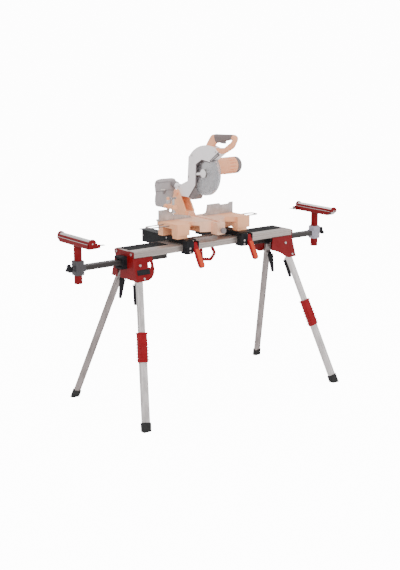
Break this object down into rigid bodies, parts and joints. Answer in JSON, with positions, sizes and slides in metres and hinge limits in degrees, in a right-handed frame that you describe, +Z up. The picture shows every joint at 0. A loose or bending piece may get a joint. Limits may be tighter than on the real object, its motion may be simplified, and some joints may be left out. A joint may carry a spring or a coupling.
{
  "type": "mitre saw on stand",
  "caption": "Mitre saw clamped on a folding work stand with splayed legs and sliding roller supports.",
  "frame": {"origin": "on the floor, at the middle of the whole object's bounding box; the beam's middle line is 47.6 mm in front of it", "axes": "+X along the beam to the operator's right, -Y towards the operator, +Z up"},
  "size_m": [1.611, 0.7588, 1.326],
  "materials": {
    "aluminium": "satin extruded",
    "red_paint": "gloss powder coat",
    "black_plastic": "moulded",
    "black_steel": "satin",
    "zinc": "zinc plated",
    "dark_steel": "brushed",
    "cast_grey": "cast",
    "rubber": "moulded",
    "red_plastic": "moulded",
    "saw_casting": "painted casting",
    "saw_plastic": "moulded",
    "guard_grey": "painted casting",
    "clear_guard": "clear polycarbonate",
    "dark_plastic": "moulded",
    "bag_cloth": "woven",
    "table": "machined and painted"
  },
  "bodies": {
    "frame": {"beam": "aluminium", "beam_trays": "black_plastic", "left_bracket": "red_paint", "right_bracket": "red_paint", "bracket_fasteners": "zinc", "nameplates": "black_plastic", "carry_handle": "red_plastic", "arm_guides": "black_plastic"},
    "front_left_leg": {"front_left_leg": "aluminium"},
    "front_left_extension": {"front_left_extension": "aluminium", "front_left_sleeve": "red_plastic", "front_left_foot": "rubber"},
    "front_left_lever": {"front_left_lever": "black_plastic"},
    "rear_left_leg": {"rear_left_leg": "aluminium", "rear_left_foot": "rubber"},
    "rear_left_lever": {"rear_left_lever": "black_plastic"},
    "front_right_leg": {"front_right_leg": "aluminium"},
    "front_right_extension": {"front_right_extension": "aluminium", "front_right_sleeve": "red_plastic", "front_right_foot": "rubber"},
    "front_right_lever": {"front_right_lever": "black_plastic"},
    "rear_right_leg": {"rear_right_leg": "aluminium", "rear_right_foot": "rubber"},
    "rear_right_lever": {"rear_right_lever": "black_plastic"},
    "left_arm": {"left_arm": "dark_steel", "left_clamp_block": "cast_grey"},
    "left_knob": {"left_knob": "black_plastic"},
    "left_post": {"left_support_head": "red_paint"},
    "left_roller": {"left_roller": "zinc"},
    "left_stop": {"left_stop": "zinc"},
    "right_arm": {"right_arm": "dark_steel", "right_clamp_block": "cast_grey"},
    "right_knob": {"right_knob": "black_plastic"},
    "right_post": {"right_support_head": "red_paint"},
    "right_roller": {"right_roller": "zinc"},
    "right_stop": {"right_stop": "zinc"},
    "carriage": {"saw_rails": "black_steel", "rail_jaws": "black_steel", "rail_bolts": "zinc", "saw_base": "saw_casting", "fence": "aluminium", "work_clamp": "saw_casting"},
    "left_clamp_lever": {"left_clamp_lever": "red_plastic"},
    "right_clamp_lever": {"right_clamp_lever": "red_plastic"},
    "left_wire": {"left_wire": "zinc"},
    "right_wire": {"right_wire": "zinc"},
    "clamp_screw": {"work_clamp_screw": "zinc"},
    "turntable": {"turntable": "table"},
    "mitre_knob": {"mitre_knob": "black_plastic"},
    "bevel_arm": {"bevel_arm": "saw_casting"},
    "bevel_lever": {"bevel_lever": "dark_plastic"},
    "head": {"saw_head": "guard_grey", "motor_housing": "saw_plastic", "motor_cap": "dark_plastic", "handle": "saw_plastic", "dust_bag": "bag_cloth"},
    "lower_guard": {"lower_guard": "clear_guard"},
    "blade": {"blade": "zinc", "blade_arbor": "zinc"},
    "trigger": {"trigger": "dark_plastic"}
  },
  "joints": [
    {"name": "front_left_fold", "type": "hinge", "parent": "frame", "child": "front_left_leg", "pos_m": [-0.457, -0.12006, 0.724], "axis": [0, -0.9482, 0.3176], "range_deg": [0, 99]},
    {"name": "front_left_extend", "type": "slide", "parent": "front_left_leg", "child": "front_left_extension", "axis": [0.1741, 0.3128, 0.9337], "range_m": [-0.05, 0.06]},
    {"name": "front_left_latch", "type": "hinge", "parent": "front_left_leg", "child": "front_left_lever", "pos_m": [-0.47093, -0.12706, 0.64327], "axis": [0.9847, -0.0553, -0.1651], "range_deg": [-3, 22]},
    {"name": "rear_left_fold", "type": "hinge", "parent": "frame", "child": "rear_left_leg", "pos_m": [-0.438, 0.02494, 0.724], "axis": [0, -0.9482, -0.3176], "range_deg": [0, 79]},
    {"name": "rear_left_latch", "type": "hinge", "parent": "rear_left_leg", "child": "rear_left_lever", "pos_m": [-0.45382, 0.03183, 0.6436], "axis": [-0.9803, -0.0628, 0.1875], "range_deg": [-15, 10]},
    {"name": "front_right_fold", "type": "hinge", "parent": "frame", "child": "front_right_leg", "pos_m": [0.462, -0.12006, 0.724], "axis": [0, 0.9482, -0.3176], "range_deg": [0, 79]},
    {"name": "front_right_extend", "type": "slide", "parent": "front_right_leg", "child": "front_right_extension", "axis": [-0.1977, 0.3113, 0.9295], "range_m": [-0.05, 0.06]},
    {"name": "front_right_latch", "type": "hinge", "parent": "front_right_leg", "child": "front_right_lever", "pos_m": [0.47782, -0.12695, 0.6436], "axis": [0.9803, 0.0628, 0.1875], "range_deg": [-3, 22]},
    {"name": "rear_right_fold", "type": "hinge", "parent": "frame", "child": "rear_right_leg", "pos_m": [0.481, 0.02494, 0.724], "axis": [0, 0.9482, 0.3176], "range_deg": [0, 99]},
    {"name": "rear_right_latch", "type": "hinge", "parent": "rear_right_leg", "child": "rear_right_lever", "pos_m": [0.49493, 0.03194, 0.64327], "axis": [-0.9847, 0.0553, -0.1651], "range_deg": [-15, 10]},
    {"name": "left_arm_slide", "type": "slide", "parent": "frame", "child": "left_arm", "axis": [-1, 0, 0], "range_m": [-0.18, 0.047]},
    {"name": "left_post_height", "type": "slide", "parent": "left_arm", "child": "left_post", "axis": [0, 0, 1], "range_m": [-0.07, 0.03]},
    {"name": "left_knob_turn", "type": "hinge", "parent": "left_arm", "child": "left_knob", "pos_m": [-0.746, -0.04756, 0.742], "axis": [1, 0, 0], "continuous": true},
    {"name": "left_roller_spin", "type": "hinge", "parent": "left_post", "child": "left_roller", "pos_m": [-0.746, -0.04756, 0.874], "axis": [0, 1, 0], "continuous": true},
    {"name": "left_stop_flip", "type": "hinge", "parent": "left_post", "child": "left_stop", "pos_m": [-0.714, -0.04756, 0.858], "axis": [0, -1, 0], "range_deg": [0, 90]},
    {"name": "right_arm_slide", "type": "slide", "parent": "frame", "child": "right_arm", "axis": [1, 0, 0], "range_m": [-0.156, 0.071]},
    {"name": "right_post_height", "type": "slide", "parent": "right_arm", "child": "right_post", "axis": [0, 0, 1], "range_m": [-0.07, 0.03]},
    {"name": "right_knob_turn", "type": "hinge", "parent": "right_arm", "child": "right_knob", "pos_m": [0.746, -0.04756, 0.742], "axis": [1, 0, 0], "continuous": true},
    {"name": "right_roller_spin", "type": "hinge", "parent": "right_post", "child": "right_roller", "pos_m": [0.746, -0.04756, 0.874], "axis": [0, 1, 0], "continuous": true},
    {"name": "right_stop_flip", "type": "hinge", "parent": "right_post", "child": "right_stop", "pos_m": [0.714, -0.04756, 0.858], "axis": [0, 1, 0], "range_deg": [0, 90]},
    {"name": "saw_slide", "type": "slide", "parent": "frame", "child": "carriage", "axis": [1, 0, 0], "range_m": [-0.1, 0.1]},
    {"name": "left_clamp", "type": "hinge", "parent": "carriage", "child": "left_clamp_lever", "pos_m": [-0.162, -0.14556, 0.797], "axis": [-1, 0, 0], "range_deg": [0, 80]},
    {"name": "right_clamp", "type": "hinge", "parent": "carriage", "child": "right_clamp_lever", "pos_m": [0.179, -0.14556, 0.797], "axis": [-1, 0, 0], "range_deg": [0, 80]},
    {"name": "left_wire_slide", "type": "slide", "parent": "carriage", "child": "left_wire", "axis": [-1, 0, 0], "range_m": [-0.025, 0.04]},
    {"name": "right_wire_slide", "type": "slide", "parent": "carriage", "child": "right_wire", "axis": [1, 0, 0], "range_m": [-0.025, 0.04]},
    {"name": "work_clamp_down", "type": "slide", "parent": "carriage", "child": "clamp_screw", "axis": [0, 0, 1], "range_m": [-0.027, 0.012]},
    {"name": "mitre", "type": "hinge", "parent": "carriage", "child": "turntable", "pos_m": [0.012, 0.01244, 0.85], "axis": [0, 0, 1], "range_deg": [-45, 45]},
    {"name": "mitre_knob_turn", "type": "hinge", "parent": "turntable", "child": "mitre_knob", "pos_m": [0.012, -0.15956, 0.85], "axis": [0, 1, 0], "continuous": true},
    {"name": "bevel", "type": "hinge", "parent": "turntable", "child": "bevel_arm", "pos_m": [0.012, 0.09644, 0.891], "axis": [0, 1, 0], "range_deg": [-45, 0]},
    {"name": "bevel_lock", "type": "hinge", "parent": "bevel_arm", "child": "bevel_lever", "pos_m": [0.012, 0.21644, 0.901], "axis": [0, 1, 0], "range_deg": [-25, 35]},
    {"name": "chop", "type": "hinge", "parent": "bevel_arm", "child": "head", "pos_m": [0.012, 0.16744, 1.003], "axis": [1, 0, 0], "range_deg": [0, 32.5], "stiffness_Nm_per_rad": 15, "springref_deg": -74.48},
    {"name": "guard_swing", "type": "hinge", "parent": "head", "child": "lower_guard", "pos_m": [0.012, -0.03356, 1.118], "axis": [1, 0, 0], "range_deg": [-117, 0]},
    {"name": "blade_spin", "type": "hinge", "parent": "head", "child": "blade", "pos_m": [0.012, -0.03356, 1.118], "axis": [1, 0, 0], "continuous": true},
    {"name": "trigger_pull", "type": "slide", "parent": "head", "child": "trigger", "axis": [0, 0, 1], "range_m": [0, 0.005], "stiffness_N_per_m": 500, "springref_m": -0.004}
  ],
  "couplings": [
    {"joint": "guard_swing", "follows": "chop", "ratio": -3.6}
  ]
}
